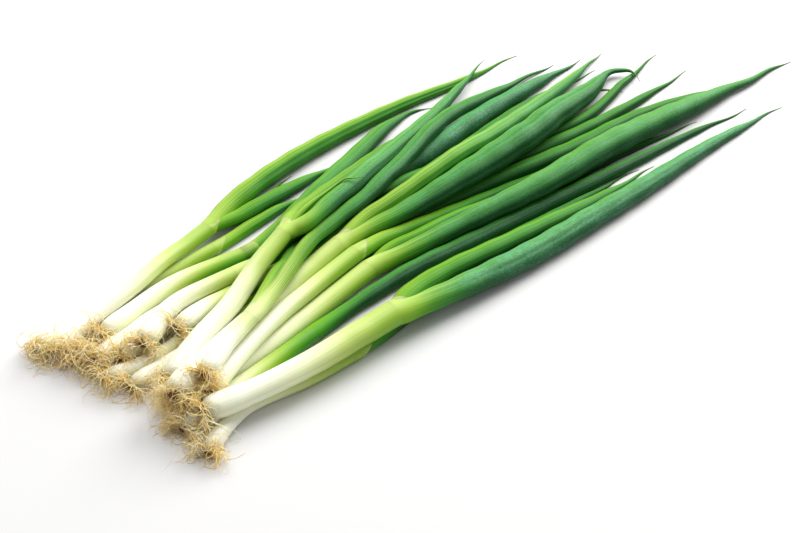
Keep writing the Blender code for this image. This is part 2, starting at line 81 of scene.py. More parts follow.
# Each stalk: its width at the root and at the neck, and its route from root to neck.
# Each leaf: its width, how far along it is widest, and its route on from the neck to the tip.
# Widths are in mm. A route's points are (x, y, height) in mm, down the strand's middle.
PLANTS = {
    "A": {
        "stalk": (6.4, 8.1, [(-217, 20, 8), (-189, 25, 9), (-166, 30, 9), (-137, 38, 8), (-118, 43, 8)]),
        "leaves": [
            (10.2, 0.12, [(-97, 52, 8), (-53, 63, 7), (19, 67, 4), (70, 64, 2), (106, 65, 1)]),
            (2.2, 0.1, [(-90, 47, 5), (-56, 60, 1)]),
            (7.6, 0.4, [(-96, 43, 6), (-81, 45, 5), (-25, 51, 1)]),
        ],
    },
    "B": {
        "stalk": (5.5, 6.4, [(-222, 23, 3), (-197, 27, 3), (-151, 32, 3), (-120, 33, 3)]),
        "leaves": [(6.0, 0.3, [(-77, 38, 3), (-47, 37, 1)])],
    },
    "C": {
        "stalk": (8.5, 9.3, [(-196, 18, 5), (-153, 25, 5), (-114, 20, 5)]),
        "leaves": [
            (9.8, 0.5, [(-57, 34, 8), (-24, 46, 5), (9, 58, 3), (24, 60, 2), (38, 57, 1)]),
            (6.8, 0.3, [(-99, 21, 4), (-54, 26, 2)]),
        ],
    },
    "D": {
        "stalk": (11.0, 8.5, [(-187, -29, 10), (-170, -20, 13), (-142, -11, 17), (-116, 0, 22),
                              (-98, 6, 24)]),
        "leaves": [
            (6.8, 0.3, [(-84, 16, 22), (-68, 22, 19), (-40, 31, 14), (-16, 40, 8), (29, 52, 1)]),
            (9.5, 0.3, [(-84, 3, 27), (-64, 8, 27), (-37, 16, 24), (-5, 30, 17), (30, 44, 11), (61, 59, 6),
                        (86, 71, 2)]),
            (2.2, 0.1, [(-84, 10, 27), (-68, 14, 27), (-57, 15, 28), (-46, 8, 30)]),
        ],
    },
    "E": {
        "stalk": (7.6, 7.6, [(-182, -44, 25), (-169, -38, 25), (-146, -30, 25)]),
        "leaves": [
            (8.1, 0.6, [(-126, -21, 24), (-89, -1, 21), (-43, 10, 17), (3, 26, 12), (33, 37, 9),
                        (64, 41, 6), (116, 46, 1)]),
            (6.8, 0.3, [(-130, -21, 20), (-107, -8, 14), (-79, 7, 9), (-49, 15, 9), (10, 33, 1)]),
        ],
    },
    "G": {
        "stalk": (10.2, 9.3, [(-196, -47, 17), (-183, -40, 16), (-159, -31, 15), (-126, -20, 13),
                              (-77, -8, 14)]),
        "leaves": [
            (15.3, 0.52, [(-35, -10, 15), (55, -4, 16), (70, 0, 15), (109, 10, 9), (134, 17, 8),
                          (140, 11, 9), (139, 2, 8)]),
            (8.5, 0.55, [(-61, -3, 16), (-35, -1, 18), (10, 4, 19), (35, 8, 15), (65, 14, 11), (110, 25, 6),
                         (144, 37, 1)]),
        ],
    },
    "H": {
        "stalk": (7.6, 8.5, [(-181, -51, 13), (-163, -44, 14), (-126, -30, 13), (-93, -22, 12),
                             (-74, -18, 12)]),
        "leaves": [(7.2, 0.3, [(-36, -16, 7), (-6, -19, 5), (83, -27, 1)])],
    },
    "I": {
        "stalk": (8.1, 10.2, [(-195, -43, 5), (-151, -39, 4), (-73, -27, 6)]),
        "leaves": [
            (5.5, 0.3, [(-58, -24, 9), (-43, -26, 11), (-22, -26, 10), (55, -27, 1)]),
            (13.6, 0.5, [(-50, -31, 9), (-11, -35, 12), (29, -38, 14), (83, -35, 12), (150, -34, 7),
                         (190, -35, 4), (221, -35, 1)]),
        ],
    },
    "J": {
        "stalk": (7.6, 8.1, [(-199, -57, 4), (-179, -52, 4), (-154, -49, 4), (-119, -44, 4)]),
        "leaves": [(8.9, 0.3, [(-59, -39, 4), (-24, -41, 4), (70, -46, 3), (135, -48, 2), (169, -51, 1)])],
    },
    "K": {
        "stalk": (10.2, 12.8, [(-190, -60, 14), (-175, -63, 14), (-134, -66, 14), (-87, -64, 14)]),
        "leaves": [
            (9.3, 0.3, [(-74, -60, 16), (-53, -57, 15), (-4, -58, 12), (23, -58, 10), (52, -57, 7),
                        (95, -54, 4)]),
            (12.8, 0.25, [(-74, -65, 13), (-53, -66, 11), (-20, -66, 8), (26, -65, 6), (74, -64, 5),
                          (130, -61, 3), (185, -61, 1)]),
        ],
    },
    "L": {
        "stalk": (6.8, 7.2, [(-198, -74, 4), (-185, -67, 4), (-171, -63, 4), (-136, -66, 4),
                             (-110, -66, 4)]),
        "leaves": [
            (6.4, 0.3, [(-92, -64, 4), (-62, -58, 3), (-35, -54, 2)]),
            (6.8, 0.3, [(-92, -62, 4), (-56, -53, 4), (12, -51, 3), (87, -50, 1)]),
        ],
    },
    "M": {
        "stalk": (7.6, 6.8, [(-206, 5, 4), (-192, 9, 4), (-167, 13, 4), (-123, 10, 3)]),
        "leaves": [
            (11.0, 0.6, [(-61, 18, 4), (-31, 20, 5), (55, 32, 5), (131, 39, 1)]),
            (6.8, 0.5, [(-76, 10, 3), (-35, 11, 3), (15, 16, 3), (80, 26, 2), (131, 26, 1)]),
        ],
    },
    "N": {
        "stalk": (9.3, 7.6, [(-187, -6, 12), (-164, 5, 13), (-129, 3, 15)]),
        "leaves": [(6.8, 0.6, [(-111, 3, 14), (-86, 7, 16), (-56, 10, 14), (-10, 7, 10), (52, 0, 6),
                               (94, -3, 5), (134, 7, 5), (167, 16, 2)])],
    },
    "O": {
        "stalk": (7.6, 7.2, [(-170, -7, 12), (-151, -3, 11), (-132, -3, 10)]),
        "leaves": [(6.8, 0.6, [(-89, -3, 7), (-54, 3, 9), (-18, 5, 6), (38, 8, 3), (93, 9, 2), (113, 10, 1),
                               (123, 9, 1), (131, 2, 1)])],
    },
    "P": {
        "stalk": (6.4, 6.8, [(-198, -1, 4), (-163, 4, 3), (-138, 2, 3), (-118, 2, 3)]),
        "leaves": [(7.6, 0.6, [(-72, 3, 3), (-37, -1, 3), (23, -4, 4), (83, -11, 4), (119, -10, 3),
                               (169, -6, 1)])],
    },
    "Q": {
        "stalk": (6.4, 6.0, [(-208, -6, 4), (-184, -10, 3), (-164, -8, 3), (-135, -5, 3)]),
        "leaves": [(8.5, 0.6, [(-89, -7, 3), (20, -13, 4), (65, -19, 4), (120, -22, 3), (164, -31, 1),
                               (177, -36, 1)])],
    },
    "R": {
        "stalk": (6.8, 6.8, [(-202, -18, 4), (-172, -16, 4), (-127, -12, 3)]),
        "leaves": [(6.8, 0.5, [(-103, -15, 3), (-64, -19, 3), (-5, -31, 3), (95, -37, 2), (140, -42, 1)])],
    },
}


def arc_length(line):
    steps = np.linalg.norm(np.diff(line, axis=0), axis=1)
    return np.concatenate([[0], np.cumsum(steps)])


def smooth_line(points, step):
    """A smooth curve through the points, as points an even step apart."""
    p = np.asarray(points, float)
    t = np.concatenate([[0], np.cumsum(np.linalg.norm(np.diff(p, axis=0), axis=1)**SPAN_POWER)])
    slope = np.gradient(p, t, axis=0)
    u = np.linspace(0, 1, SPAN_POINTS, endpoint=False)[:, None]
    runs = []
    for i, h in enumerate(np.diff(t)):
        start = (2*u**3 - 3*u**2 + 1)*p[i] + (u**3 - 2*u**2 + u)*h*slope[i]
        end = (3*u**2 - 2*u**3)*p[i + 1] + (u**3 - u**2)*h*slope[i + 1]
        runs.append(start + end)
    line = np.concatenate(runs + [p[-1:]])
    s = arc_length(line)
    even = np.linspace(0, s[-1], max(4, round(s[-1]/step) + 1))
    return np.column_stack([np.interp(even, s, column) for column in line.T])


def ease(u):
    """0 to 1 with a soft start and end."""
    u = np.clip(u, 0, 1)
    return u*u*(3 - 2*u)


def stalk_radius(s, root_width, neck_width):
    """A stalk tapers evenly between its ends, and swells a little just above the roots."""
    taper = np.interp(s/s[-1], [0, 1], [root_width, neck_width])/2*MM
    return taper*(1 + BULB_SWELL*np.exp(-((s - BULB_PLACE)/BULB_PLACE)**2))


def leaf_radius(s, width, widest, base):
    """A leaf widens from its base, is widest at that share of its length, and ends in a point."""
    u = s/s[-1]
    grown = base + (width/2*MM - base)*ease(u/widest)
    fall = np.clip((u - widest)/(1 - widest), 0, 1)
    return np.maximum(grown*(1 - fall**LEAF_FALL[0])**LEAF_FALL[1], LEAF_TIP)


def strands_of(plants):
    """Every stalk and leaf as a dict of its plant, kind, centre line, distances along it and radii."""
    strands = []
    for plant, parts in plants.items():
        root_width, neck_width, route = parts["stalk"]
        route = np.array(route)*MM
        line = smooth_line(route, STEP)
        s = arc_length(line)
        radius = stalk_radius(s, root_width, neck_width)
        strands.append(dict(plant=plant, kind="stalk", line=line, s=s, radius=radius))
        for width, widest, points in parts["leaves"]:
            leaf_route = np.concatenate([route[-2:], np.array(points)*MM])
            curve = smooth_line(leaf_route, STEP)
            neck = np.argmin(np.linalg.norm(curve - route[-1], axis=1))
            leaf = np.concatenate([line[-1:], curve[neck + 1:]])
            s = arc_length(leaf)
            base = min(LEAF_BASE[0]*radius[-1], LEAF_BASE[1]*width*MM)
            strands.append(dict(plant=plant, kind="leaf", line=leaf, s=s,
                                radius=leaf_radius(s, width, widest, base)))
    return strands


def close_pairs(p, r, first, strand, plant, along):
    """Points and segments near enough to meet: (point, segment's first point, share of the clearance)."""
    middle = (p[first] + p[first + 1])/2
    reach = np.maximum(r[first], r[first + 1]) + np.linalg.norm(p[first + 1] - p[first], axis=1)/2
    order = np.argsort(middle[:, 0])
    x = middle[order, 0]
    span = r.max() + reach.max() + NEAR
    points, segments = [], []
    for start in range(0, len(p), BLOCK):
        block = np.arange(start, min(start + BLOCK, len(p)))
        low = np.searchsorted(x, p[block, 0].min() - span)
        high = np.searchsorted(x, p[block, 0].max() + span)
        near = order[low:high]
        away = np.linalg.norm(p[block, None] - middle[near], axis=2)
        hit = away < r[block, None] + reach[near] + NEAR
        hit &= strand[block, None] != strand[first[near]]
        i, j = np.nonzero(hit)
        points.append(block[i])
        segments.append(first[near[j]])
    i, j = np.concatenate(points), np.concatenate(segments)
    apart = ease((np.minimum(along[i], along[j]) - FUSED_LENGTH)/PART_LENGTH)
    share = np.where(plant[i] == plant[j], apart, 1)
    return i[share > 0], j[share > 0], share[share > 0]


def stiffness(strands, first, count, stalks):
    """Weights that even out a shift along each plant's stalk and leaves, as stiff rods would."""
    weights = np.zeros((count.sum(), count.sum()))
    for k, strand in enumerate(strands):
        if strand["kind"] == "leaf":
            stalk = stalks[strand["plant"]]
            rod = np.concatenate([first[stalk] + np.arange(count[stalk]),
                                  first[k] + np.arange(1, count[k])])
            s = arc_length(np.concatenate([strands[stalk]["line"], strand["line"][1:]]))
            ahead = s - s[:, None]
            near = np.exp(-(ahead/STIFF_LENGTH)**2/2)
            mean = (near*ahead).sum(1)[:, None]
            square = (near*ahead**2).sum(1)[:, None]
            weights[np.ix_(rod, rod)] += near*(square - mean*ahead)
    return weights


def press_apart(strands, rounds):
    """Moves the strands, as springy rods, until they lie clear of each other and on the surface."""
    count = np.array([len(strand["line"]) for strand in strands])
    start = np.cumsum(count) - count
    strand = np.repeat(np.arange(len(strands)), count)
    plan = np.concatenate([s["line"] for s in strands])
    r = np.concatenate([s["radius"] for s in strands])
    along = np.concatenate([s["s"]*(s["kind"] == "leaf") for s in strands])
    plant = np.concatenate([[ord(s["plant"])]*len(s["line"]) for s in strands])
    first = np.setdiff1d(np.arange(len(r)), start + count - 1)
    stalks = {s["plant"]: k for k, s in enumerate(strands) if s["kind"] == "stalk"}
    leaves = [k for k, s in enumerate(strands) if s["kind"] == "leaf"]
    own_stalks = [stalks[strands[k]["plant"]] for k in leaves]
    base = start[leaves]
    neck = start[own_stalks] + count[own_stalks] - 1
    even = stiffness(strands, start, count, stalks)
    even[base] = even[neck]
    even /= even.sum(1)[:, None]
    p = plan.copy()
    p[:, 2] = np.maximum(p[:, 2], r)
    for turn in range(rounds):
        if turn % WATCH_ROUNDS == 0:
            i, j, share = close_pairs(p, r, first, strand, plant, along)
        loose = min(1, LOOSE_RATE*(1 - turn/rounds))
        p[:, 2] -= WEIGHT*loose
        p[:, :2] += HOLD*loose*(plan - p)[:, :2]
        shift = p - plan
        p = plan + (1 - STIFFNESS)*shift + STIFFNESS*(even @ shift)
        for _ in range(PUSHES):
            a, b = p[j], p[j + 1]
            t = np.clip(((p[i] - a)*(b - a)).sum(1)/((b - a)**2).sum(1), 0, 1)
            away = p[i] - a - t[:, None]*(b - a)
            distance = np.linalg.norm(away, axis=1)
            deep = (r[i] + r[j]*(1 - t) + r[j + 1]*t + CLEARANCE)*share - distance
            hit = deep > 0
            push = away[hit]/np.maximum(distance[hit], 1e-9)[:, None]*(deep[hit]/2)[:, None]
            move, weight = np.zeros_like(p), np.zeros(len(p))
            for k, part, sign in ((i, 1 + 0*t, 1), (j, 1 - t, -1), (j + 1, t, -1)):
                np.add.at(move, k[hit], sign*push*part[hit, None])
                np.add.at(weight, k[hit], part[hit])
            p += PUSH*move/np.maximum(weight, 1)[:, None]
            p[:, 2] = np.maximum(p[:, 2], r)
            p[base] = p[neck]
    for strand, lines in zip(strands, np.split(p, start[1:])):
        strand["line"] = lines
        strand["s"] = arc_length(lines)


def unit(v):
    return v/np.linalg.norm(v)


def ring(centre, along, radius, sides):
    """Corners of a ring square to a direction, with one side facing straight down."""
    side = unit(np.cross((0, 0, 1), along))
    up = np.cross(along, side)
    angle = 2*np.pi*(np.arange(sides) + 0.5)/sides
    return centre + radius*(np.sin(angle)[:, None]*side - np.cos(angle)[:, None]*up)


def laid_down(points):
    """The pile squeezed by its own weight, its lowest sides flat on the surface."""
    points = points*(1, 1, SQUEEZE)
    points[:, 2] = np.maximum(points[:, 2], FLOOR_CUT) - FLOOR_CUT
    return points


def strand_segments(strands):
    """Starts, ends and radii of the strands' short lengths, with a root plate on each stalk."""
    starts, ends, radii = [], [], []
    for strand in strands:
        line, radius = strand["line"], strand["radius"]
        if strand["kind"] == "stalk":
            plate = line[0] + PLATE_LENGTH*unit(line[0] - line[1])
            line = np.concatenate([[plate], line])
            radius = np.concatenate([radius[:1], radius])
        starts.append(line[:-1])
        ends.append(line[1:])
        radii.append(np.maximum(radius[:-1], radius[1:]))
    return np.concatenate(starts), np.concatenate(ends), np.concatenate(radii)


# How each stalk is coloured: the share of its length that is white, its green at the neck, and how
# much greener its shaded side is painted, as painted shade. Greens run from 0, white, to 1, the deepest.
STALK_GREENS = {
    "A": (0.20, 0.46, 0.25), "B": (0.25, 0.44, 0.30), "C": (0.40, 0.42, 1.2), "D": (0.45, 0.40, 0.40),
    "E": (0.55, 0.30, 0.0), "G": (0.40, 0.38, 0.30), "H": (0.35, 0.42, 0.50), "I": (0.30, 0.38, 0.50),
    "J": (0.15, 0.64, 0.45), "K": (0.15, 0.40, 0.45), "L": (0.10, 0.44, 0.15), "M": (0.50, 0.36, 0.40),
    "N": (0.55, 0.34, 0.35), "O": (0.30, 0.42, 0.50), "P": (0.20, 0.40, 0.45), "Q": (0.20, 0.42, 0.45),
    "R": (0.20, 0.44, 0.45),
}

# How each leaf is coloured, in the order of PLANTS: its green where it leaves the neck, the distance
# in mm over which it deepens, its full green, and how waxy and blue it is, which also sets its painted
# sheen.
LEAF_GREENS = {
    "A": [(0.58, 60, 0.70, 0.1), (0.62, 30, 0.80, 0.0), (0.56, 50, 0.80, 0.15)],
    "B": [(0.50, 60, 0.80, 0.1)],
    "C": [(0.50, 60, 0.84, 0.25), (0.56, 40, 0.85, 0.15)],
    "D": [(0.50, 110, 0.80, 0.15), (0.48, 40, 0.84, 0.45), (0.50, 40, 0.66, 0.0)],
    "E": [(0.34, 120, 0.90, 0.3), (0.42, 90, 0.92, 0.2)],
    "G": [(0.54, 60, 0.90, 0.35), (0.50, 190, 0.78, 0.5)],
    "H": [(0.48, 110, 0.96, 0.0)],
    "I": [(0.56, 90, 0.88, 0.1), (0.58, 60, 0.86, 0.4)],
    "J": [(0.64, 50, 0.96, 0.2)],
    "K": [(0.58, 90, 0.84, 0.1), (0.56, 60, 0.88, 0.7)],
    "L": [(0.65, 50, 0.94, 0.2), (0.65, 50, 0.94, 0.2)],
    "M": [(0.58, 60, 0.94, 0.65), (0.58, 60, 0.92, 0.2)],
}
OTHER_LEAF = (0.60, 60, 0.90, 0.1)

# Single leaves, each named by its plant and its place in the plant's list.
SPRUNG = {("D", 2): 2.4*MM}    # a thin leaf that stands up a little off the others
CHANNELS = {("A", 0): (3.9, 0.13), ("G", 0): (4.4, 0.10), ("I", 1): (4.5, 0.07)}    # side, depth
LONG_TAILS = {("I", 1): 85*MM, ("E", 0): 60*MM, ("G", 0): 50*MM}    # in place of TAIL

SHEATHED = "BCH"       # plants whose every leaf comes out of a sheath, with none that goes on from it
SHEATHED_WIDTH = 0.7   # of what such a leaf's base lacks to the stalk's width, made up

# Skins of the stalks and leaves. A side is an angle round a ring, as side_angles gives it.
SEED = 11
FINE_STEP = 2*MM       # between the rings of a stalk or leaf
SIDES = 48
PLUMP = 0.35*MM        # added to each radius: it closes most of the gap between the solids
RIDGE_WAVES = (2, 3, 5, 7, 9, 12)    # round a strand
TWIST = 1.2            # radians that a strand's ridges turn through for each metre, at most
STALK_RIDGES = 0.004   # their height over the strand's radius
LEAF_RIDGES = 0.011
JOIN = 20*MM           # over which a stalk or leaf takes its own shape, past where they join
LEE = np.radians(300)  # the side that the light leaves, where its shade is painted into the colour
LEE_POWER = 1.5        # how narrow that side's painted shade is
LEE_ON_WHITE = 0.16    # how much of that painted shade shows where the stalk is still white

BULB_ROUND = 6*MM      # over which a stalk rounds in to its root plate
BULB_END = 0.66        # width of its end over its own
EARTHY = 4*MM          # over which the tan of the root end fades
EARTHY_DRY = 0.55
GREEN_START = 0.6      # of its white share: where a stalk's green comes in
GREEN_POWER = 1.2      # how slowly it does

WIDEN = 25*MM          # over which a leaf loses what it has of the stalk's width
UNEVEN = 0.03          # how much a leaf's width varies along it
UNEVEN_TURN = 3.7*np.pi    # radians of that variation to one wave of its waver
TAIL = 38*MM           # over which a leaf's end strays and thins
TAIL_SHARE = 0.55      # of a leaf's settled width that is left along it
TAIL_RATE = 1.5        # how much sooner than its end the thinning is done
TAIL_POINT = 12*MM     # over which its last end comes to a point
POINT_LOSS = 0.75      # of the width there, that the point loses
WAVER = 0.9*MM         # how far a leaf's tip strays to either side of its line
WAVER_LENGTH = 36*MM   # of one such wave
CREASE_SIDE = (3.4, 4.9)
CREASE_WIDTH = 0.2     # radians
CREASE_DEPTH = (0.02, 0.08)    # over the leaf's radius
CREASE_SHADE = 0.8     # painted shade in the groove: how much deeper its green is, over its depth
DEEPEN_POWER = 0.8     # how quickly a leaf's green deepens at first
SHADED = 0.20          # painted shade and light: how much deeper a leaf's green is on the side that the light leaves, and how much paler on its lit side
BLOOM_SHEEN_SIDE = 2.9       # the lit side, where the waxy bloom is painted thickest as a sheen
BLOOM_SHEEN_SPAN = 1.2       # radians of that painted sheen
BLOOM_LEAST = 0.25     # share of it on the other sides
VEINS_START = 30*MM    # over which a leaf's veins come out, past the neck
DRY_SHARE = 0.06       # of a leaf's length, withered at its tip
DRY = 0.45
DRY_RADIUS = 1.5*MM    # thinner leaves don't wither

SLEEVE = 5*MM          # how far a sheath reaches past the neck
SLEEVE_SLANT = 4*MM
SLEEVE_HIGH = (2.2, 4.2)    # the side where it reaches furthest
SLEEVE_FIT = 0.15*MM   # between the sheath and the leaf inside it
SLEEVE_WALL = 0.12*MM
SLEEVE_RIM = 3*MM      # thin and pale, at its end
RIM_PALE = 0.2
SLEEVE_ROWS = 16       # of rings on its outside
INNER_ROWS = 3         # and on its inside, from the rim down
SLEEVE_LEAF = 4        # mm: narrower leaves come out with no sheath

# Roots
HAIRS = 120            # to a plant
HAIR_POINTS = 24
HAIR_SIDES = 4
HAIR_STEP = (0.35*MM, 0.8*MM)
HAIR_RADIUS = (0.12*MM, 0.25*MM)
HAIR_TAPER = 0.6       # of its radius, lost to the tip
HAIR_REACH = (0.4, 1)  # squares of how far out on the plate they start
HAIR_RING = 0.55       # radius of that on the plate, over the stalk's
HAIR_PLACE = 0.8       # how far along the plate the middle ones start
HAIR_PLACE_FALL = 0.5  # and how much nearer to the stalk those at the rim do
HAIR_LEAN = (15, 110)  # degrees from the stalk's line: in the middle, and added at the rim
LEAN_SPREAD = (0.5, 1.1)
HAIR_BEND = (90, 420)  # radians for each metre
HAIR_CURL = 0.45       # how much the way it bends changes at each point
HAIR_DROOP = 0.05      # how far a hair's heading sinks at each point
HAIR_PULL = 0.12       # back to the tuft's middle
STRAYS = 5             # of them, longer and straighter
STRAY_STEP = (1.2, 1.9)    # over the others' longest
STRAY_BEND = 135
STRAY_DROOP = 0.16
STRAY_PULL = 0.02
HAIR_STEEPEST = 0.96   # rise or fall over length
HAIR_BROWN = (0.2, 0.7)    # where it leaves the plate
BROWN_LENGTH = 1.2*MM  # over which that fades

TUFT = 6*MM            # radius that a tuft keeps to, round its middle
TUFT_OUT = 0.4         # of TUFT: how far past the stalk's end its middle is
TUFT_FREE = 0.6        # of TUFT: a hair isn't pulled back within it
PULL_MOST = 2          # of the pull
TUFT_NEAR = 5*TUFT     # strands this close are kept out of
TOP_BAND = 2*MM        # under the top of the pile, where hairs turn down
TOP_TURN = 0.4
# How far the middle of a plant's tuft lies off its usual place
TUFT_LEANS = {"A": (9*MM, -7*MM, 3*MM), "B": (4*MM, -6*MM, 1*MM), "C": (-2*MM, -4*MM, 0)}
WIDE_TUFTS = {"A": 2.6, "B": 1.4, "C": 1.3, "M": 1.3}    # a tuft's size, 1 for the others
SIZE_POWER = 0.3       # how far that tells on its hairs' steps and bends
SPREAD_SIZE = 2        # over this, its hairs' starts are strewn across it

PLATE_ROWS = 12
PLATE_RADIUS = 0.56    # over the stalk's
PLATE_ROUND = 2.4      # power that rounds it off
PLATE_LEAST = 0.02
PLATE_SUNK = 1*MM      # into the stalk
PLATE_OVER = 1.1       # its length over PLATE_LENGTH
PLATE_LUMPS = 0.10
PLATE_TONE = 0.2
PLATE_BROWN = 0.3      # at the stalk, and all of it well before its end


def units(rows):
    return rows/np.linalg.norm(rows, axis=1)[:, None]


def even_heading(line):
    return units(np.gradient(line, axis=0))


def heading_from(stalk, line, s):
    """Headings along a leaf, which turns from its stalk's direction to its own."""
    turned = ease(s/TURN_LENGTH)[:, None]
    return units(turned*even_heading(line) + (1 - turned)*unit(stalk["line"][-1] - stalk["line"][-2]))


def fine_strand(strand):
    """A strand's line and radius, as points FINE_STEP apart."""
    fine = smooth_line(np.column_stack([strand["line"], strand["radius"]]), FINE_STEP)
    return fine[:, :3], fine[:, 3] + PLUMP


def side_angles(sides):
    """Angle of each side of a ring: 0 faces down, a half turn faces up, a quarter turn faces +Y."""
    return 2*np.pi*(np.arange(sides) + 0.5)/sides


def rings_round(line, heading, radius):
    """Rings square to the headings. radius has a row for each ring, with a value for each side."""
    side = units(np.cross((0, 0, 1), heading))
    up = np.cross(heading, side)
    angle = side_angles(radius.shape[1])[:, None]
    out = np.sin(angle)*side[:, None] - np.cos(angle)*up[:, None]
    return line[:, None] + radius[..., None]*out


def even_rings(line, heading, radius, sides):
    """Rings square to the headings, each with one radius all round."""
    return rings_round(line, heading, np.repeat(radius[:, None], sides, axis=1))


def tube_faces(rings, sides):
    """Faces of a closed tube, with its two ends."""
    start = np.arange(rings - 1)[:, None]*sides
    low = start + np.arange(sides)
    next_low = start + (np.arange(sides) + 1) % sides
    quads = np.stack([low, next_low, next_low + sides, low + sides], axis=2).reshape(-1, 4)
    ends = [list(range(sides))[::-1], list(range((rings - 1)*sides, rings*sides))]
    return quads.tolist() + ends


def shell(rings, s, **values):
    """A tube's points and faces, with the values that its finish reads at each point."""
    count, sides = rings.shape[:2]
    whole = {name: np.broadcast_to(value, (count, sides)).reshape(-1) for name, value in values.items()}
    mean = np.linalg.norm(rings - rings.mean(1)[:, None], axis=2).mean()
    angle = side_angles(sides)
    skin = np.empty((count, sides, 3))
    skin[..., 0] = mean*np.sin(angle)
    skin[..., 1] = mean*np.cos(angle)
    skin[..., 2] = np.asarray(s)[:, None]
    return dict(points=rings.reshape(-1, 3), faces=tube_faces(count, sides), skin=skin.reshape(-1, 3),
                values=whole)


def ridges(s, height, rng):
    """Low uneven ridges that run along a strand, as shares of its radius."""
    angle = side_angles(SIDES) + rng.uniform(-TWIST, TWIST)*s[:, None]
    sum_of_waves = np.zeros((len(s), SIDES))
    for wave in RIDGE_WAVES:
        sum_of_waves += rng.normal()*np.cos(wave*angle + rng.uniform(0, 2*np.pi))*(3/(2 + wave))
    return height*sum_of_waves


def crease(place, depth, fade):
    """A groove along a strand, as shares of its radius."""
    off = (side_angles(SIDES) - place + np.pi) % (2*np.pi) - np.pi
    return -depth*np.exp(-(off/CREASE_WIDTH)**2)*fade[:, None]


def painted_lee_shade(plant, green):
    """Painted shade: how much greener a stalk is painted round its ring, most on the side that the light
    leaves.
    """
    shaded = 0.5 + 0.5*np.cos(side_angles(SIDES) - LEE)
    shown = LEE_ON_WHITE + (1 - LEE_ON_WHITE)*green[:, None]
    return STALK_GREENS[plant][2]*shaded**LEE_POWER*shown


def stalk_green(plant, s):
    """White at the root and greener to the neck, with painted shade on the side that the light leaves."""
    white, neck, _ = STALK_GREENS[plant]
    start = white*GREEN_START
    green = neck*ease((s/s[-1] - start)/(1 - start))**GREEN_POWER
    return green[:, None] + painted_lee_shade(plant, green)


def stalk_shell(strand, rng):
    """A stalk, tan where it rounds in to its root plate."""
    line, radius = fine_strand(strand)
    s = arc_length(line)
    rounded = BULB_END + (1 - BULB_END)*np.sqrt(np.clip(1 - (1 - s/BULB_ROUND).clip(0)**2, 0, 1))
    own = ease(s/JOIN)*ease((s[-1] - s)/JOIN)
    spread = (radius*rounded)[:, None]*(1 + ridges(s, STALK_RIDGES, rng)*own[:, None])
    heading = even_heading(line)
    heading[-1] = unit(strand["line"][-1] - strand["line"][-2])
    dry = EARTHY_DRY*np.exp(-(s/EARTHY)**2)
    return shell(rings_round(line, heading, spread), s, green=stalk_green(strand["plant"], s), wax=0,
                 dry=dry[:, None], veined=1)


def widened(s, radius, stalk, share):
    """A leaf's radius, with this share of what its base lacks to the stalk's width made up."""
    return radius + share*(stalk["radius"][-1] + PLUMP - radius[0])*(1 - ease(s/WIDEN))


def leaf_radius_along(s, radius, waves, tail):
    """A leaf's radius, made uneven along it, thin over its tail and pointed at its end."""
    radius = radius*(1 + UNEVEN*np.sin(UNEVEN_TURN*waves)*ease(s/WIDEN))
    radius = radius*(1 - (1 - TAIL_SHARE)*ease(TAIL_RATE*(s - s[-1] + tail)/tail))
    return radius*(1 - POINT_LOSS*ease((s - s[-1] + TAIL_POINT)/TAIL_POINT))


def leaf_values(plant, s, start, look, groove, withers):
    """The values that a leaf's finish reads. Its green deepens from the one that it starts with, with
    painted shade on the side that the light leaves, painted light on its lit side, a painted sheen in its
    waxy bloom on the lit side, and painted shade in its groove.
    """
    _, reach, full, wax = look
    settled = ease(s/(reach*MM))
    deepened = settled**DEEPEN_POWER
    green = start + (full - start)*deepened
    # painted shade: the stalk's painted shade fades out past the neck, and the leaf's own painted shade on
    # the side that the light leaves, with painted light on its lit side, comes in
    painted_lee = painted_lee_shade(plant, np.full(len(s), start))
    shaded = SHADED*np.cos(side_angles(SIDES) - LEE)
    green = green[:, None] + painted_lee*(1 - settled)[:, None] + shaded*deepened[:, None]
    # the waxy bloom: real wax over the whole leaf, painted heaviest on the lit side as a sheen
    bloom = np.exp(-((side_angles(SIDES) - BLOOM_SHEEN_SIDE)/BLOOM_SHEEN_SPAN)**2)
    bloom = (wax*deepened)[:, None]*(BLOOM_LEAST + (1 - BLOOM_LEAST)*bloom)
    dry = withers*DRY*ease((s/s[-1] - 1)/DRY_SHARE + 1)
    veined = ease(s/VEINS_START)
    # the groove's painted shade deepens the green
    return dict(green=green - CREASE_SHADE*groove, wax=bloom, dry=dry[:, None], veined=veined[:, None])


def leaf_shell(strand, stalk, number, look, goes_on, share, rng):
    """One leaf. A leaf that goes on from its stalk starts with the stalk's own green."""
    plant = strand["plant"]
    line, radius = fine_strand(strand)
    s = arc_length(line)
    tail = LONG_TAILS.get((plant, number), TAIL)
    line[:, 2] += SPRUNG.get((plant, number), 0)*ease(s/JOIN)
    waves = s/WAVER_LENGTH + rng.uniform(0, 1)
    line[:, 1] += WAVER*np.sin(2*np.pi*waves)*ease((s - s[-1] + tail)/tail)
    withers = radius.max() > DRY_RADIUS
    radius = leaf_radius_along(s, widened(s, radius, stalk, share), waves, tail)
    if (plant, number) in CHANNELS:
        place, depth = CHANNELS[plant, number]
    else:
        place, depth = rng.uniform(*CREASE_SIDE), rng.uniform(*CREASE_DEPTH)
    groove = crease(place, depth, ease((s - JOIN)/(2*JOIN)))
    spread = radius[:, None]*(1 + ridges(s, LEAF_RIDGES, rng)*ease(s/JOIN)[:, None] + groove)
    rings = rings_round(line, heading_from(stalk, line, s), spread)
    start = STALK_GREENS[plant][1] if goes_on else look[0]
    return shell(rings, s, **leaf_values(plant, s, start, look, groove, withers))


def cut_short(rings, cut):
    """A tube's rings drawn in along it, so that each side ends at its own share of the length."""
    rows = len(rings) - 1
    place = np.linspace(0, 1, len(rings))[:, None]*cut*rows
    low = np.minimum(place.astype(int), rows - 1)
    part = (place - low)[..., None]
    side = np.arange(SIDES)
    return rings[low, side]*(1 - part) + rings[low + 1, side]*part


